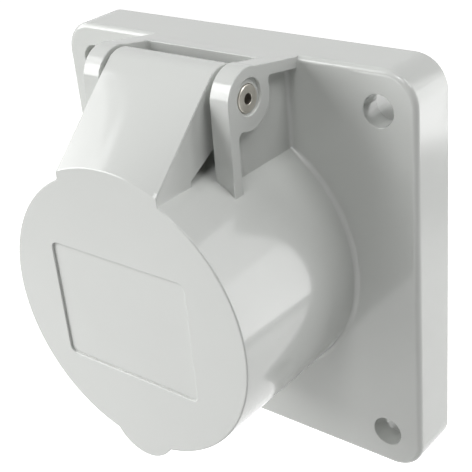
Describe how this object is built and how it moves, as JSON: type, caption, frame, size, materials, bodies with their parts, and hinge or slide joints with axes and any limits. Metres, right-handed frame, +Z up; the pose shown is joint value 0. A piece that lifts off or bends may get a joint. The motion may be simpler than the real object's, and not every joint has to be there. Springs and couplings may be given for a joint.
{
  "type": "industrial socket",
  "caption": "Panel-mounted industrial power socket with a square flange, round barrel, recessed contacts and a spring-closed hinged lid.",
  "frame": {"origin": "centre of the flange's back face, on the barrel's axis", "axes": "+Z up, towards the hinge; the lid faces -Y and the terminals +Y"},
  "size_m": [0.075, 0.0563, 0.0772],
  "materials": {
    "housing_plastic": "light grey moulding, semi-gloss",
    "lid_plastic": "light grey moulding, semi-gloss",
    "insert_plastic": "mid grey moulding, matte",
    "pin_steel": "turned stainless steel",
    "spring_steel": "drawn spring steel",
    "screw_steel": "zinc plated",
    "contact_brass": "turned brass, lightly nickelled",
    "seal_rubber": "black rubber"
  },
  "bodies": {
    "socket": {"housing": "housing_plastic", "hinge_pin": "pin_steel", "lid_spring": "spring_steel", "panel_gasket": "seal_rubber", "contact_carrier": "insert_plastic", "carrier_seal": "seal_rubber", "carrier_screws": "screw_steel", "terminal_block": "insert_plastic", "terminal_block_screw": "screw_steel", "line_contact": "contact_brass", "neutral_contact": "contact_brass", "earth_contact": "contact_brass", "line_clip": "spring_steel", "neutral_clip": "spring_steel", "earth_clip": "spring_steel", "line_terminal_screw": "screw_steel", "neutral_terminal_screw": "screw_steel", "earth_terminal_screw": "screw_steel"},
    "lid": {"lid": "lid_plastic", "lid_seal": "seal_rubber"}
  },
  "joints": [
    {"name": "lid_hinge", "type": "hinge", "parent": "socket", "child": "lid", "pos_m": [0, -0.0222, 0.0346], "axis": [-1, 0, 0], "range_deg": [0, 110], "stiffness_Nm_per_rad": 0.06, "springref_deg": -45.84}
  ]
}
